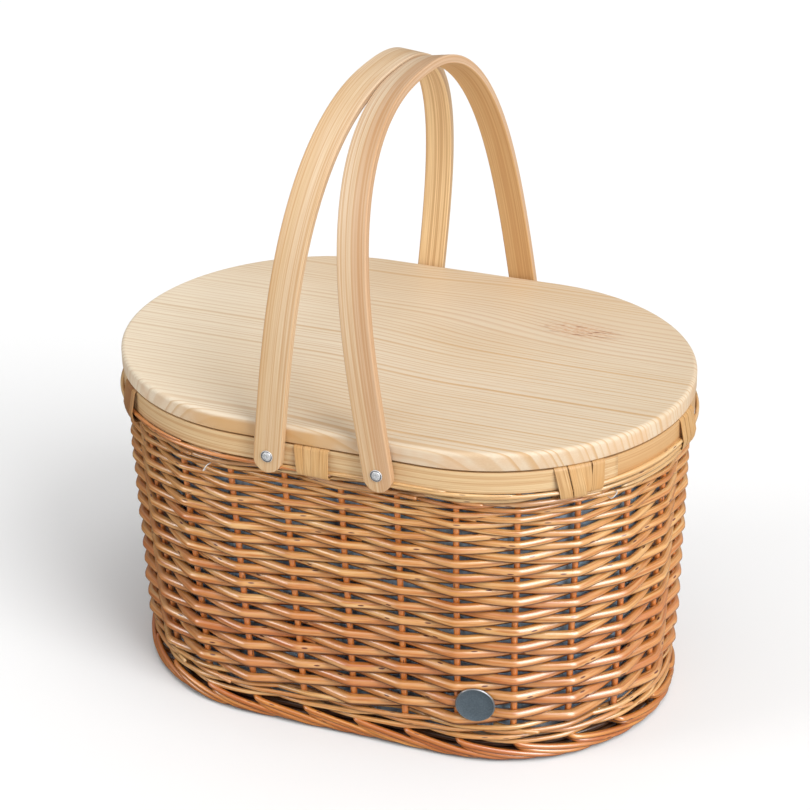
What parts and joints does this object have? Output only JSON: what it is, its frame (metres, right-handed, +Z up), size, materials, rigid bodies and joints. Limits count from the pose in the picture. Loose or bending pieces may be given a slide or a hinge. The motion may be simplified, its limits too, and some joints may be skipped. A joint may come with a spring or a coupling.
{
  "type": "picnic basket",
  "caption": "Oval woven willow picnic basket with insulated liner, lift-off pine lid and a pair of folding bentwood carrying handles.",
  "frame": {"origin": "middle of the footprint, on the surface that the foot border stands on", "axes": "+Z up, +X along the long side, -Y towards the front where the disc is"},
  "size_m": [0.4514, 0.3286, 0.4942],
  "materials": {
    "willow": "peeled and boiled willow rods, satin lacquer",
    "willow_stake": "thicker willow rods, orange brown, satin lacquer",
    "cane": "flat split cane, satin",
    "bentwood": "steam-bent pine strip, clear satin lacquer",
    "pine": "glued pine board, sanded, clear satin lacquer",
    "liner": "padded cool bag with a crinkled grey-blue foil face",
    "steel": "bright zinc-plated",
    "badge": "slate lacquer with a bright rim, left bare"
  },
  "bodies": {
    "basket": {"stake_01": "willow_stake", "stake_02": "willow_stake", "stake_03": "willow_stake", "stake_04": "willow_stake", "stake_05": "willow_stake", "stake_06": "willow_stake", "stake_07": "willow_stake", "stake_08": "willow_stake", "stake_09": "willow_stake", "stake_10": "willow_stake", "stake_11": "willow_stake", "stake_12": "willow_stake", "stake_13": "willow_stake", "stake_14": "willow_stake", "stake_15": "willow_stake", "stake_16": "willow_stake", "stake_17": "willow_stake", "stake_18": "willow_stake", "stake_19": "willow_stake", "stake_20": "willow_stake", "stake_21": "willow_stake", "stake_22": "willow_stake", "stake_23": "willow_stake", "stake_24": "willow_stake", "stake_25": "willow_stake", "stake_26": "willow_stake", "stake_27": "willow_stake", "wall_weave": "willow", "lower_wale": "willow", "upper_wale": "willow", "foot_border": "willow", "cane_binding_1": "cane", "cane_binding_2": "cane", "cane_binding_3": "cane", "cane_binding_4": "cane", "cane_binding_5": "cane", "cane_binding_6": "cane", "cane_binding_7": "cane", "outer_hoop": "bentwood", "inner_hoop": "bentwood", "base_panel": "pine", "liner_bag": "liner", "pivot_screw_front_left": "steel", "pivot_screw_front_right": "steel", "pivot_screw_back_left": "steel", "pivot_screw_back_right": "steel", "pivot_nut_front_left": "steel", "pivot_nut_front_right": "steel", "pivot_nut_back_left": "steel", "pivot_nut_back_right": "steel", "pivot_washer_front_left": "steel", "pivot_washer_front_right": "steel", "pivot_washer_back_left": "steel", "pivot_washer_back_right": "steel", "badge_disc": "badge"},
    "lid": {"lid_board": "pine", "lid_batten_left": "pine", "lid_batten_right": "pine"},
    "handle_left": {"handle_left": "bentwood"},
    "handle_right": {"handle_right": "bentwood"}
  },
  "joints": [
    {"name": "lid_lift", "type": "slide", "parent": "basket", "child": "lid", "axis": [0, 0, 1], "range_m": [0, 0.011]},
    {"name": "handle_left_fold", "type": "hinge", "parent": "basket", "child": "handle_left", "pos_m": [-0.04259, 0, 0.247], "axis": [0, -1, 0], "range_deg": [0, 132]},
    {"name": "handle_right_fold", "type": "hinge", "parent": "basket", "child": "handle_right", "pos_m": [0.04259, 0, 0.247], "axis": [0, 1, 0], "range_deg": [0, 134]}
  ]
}
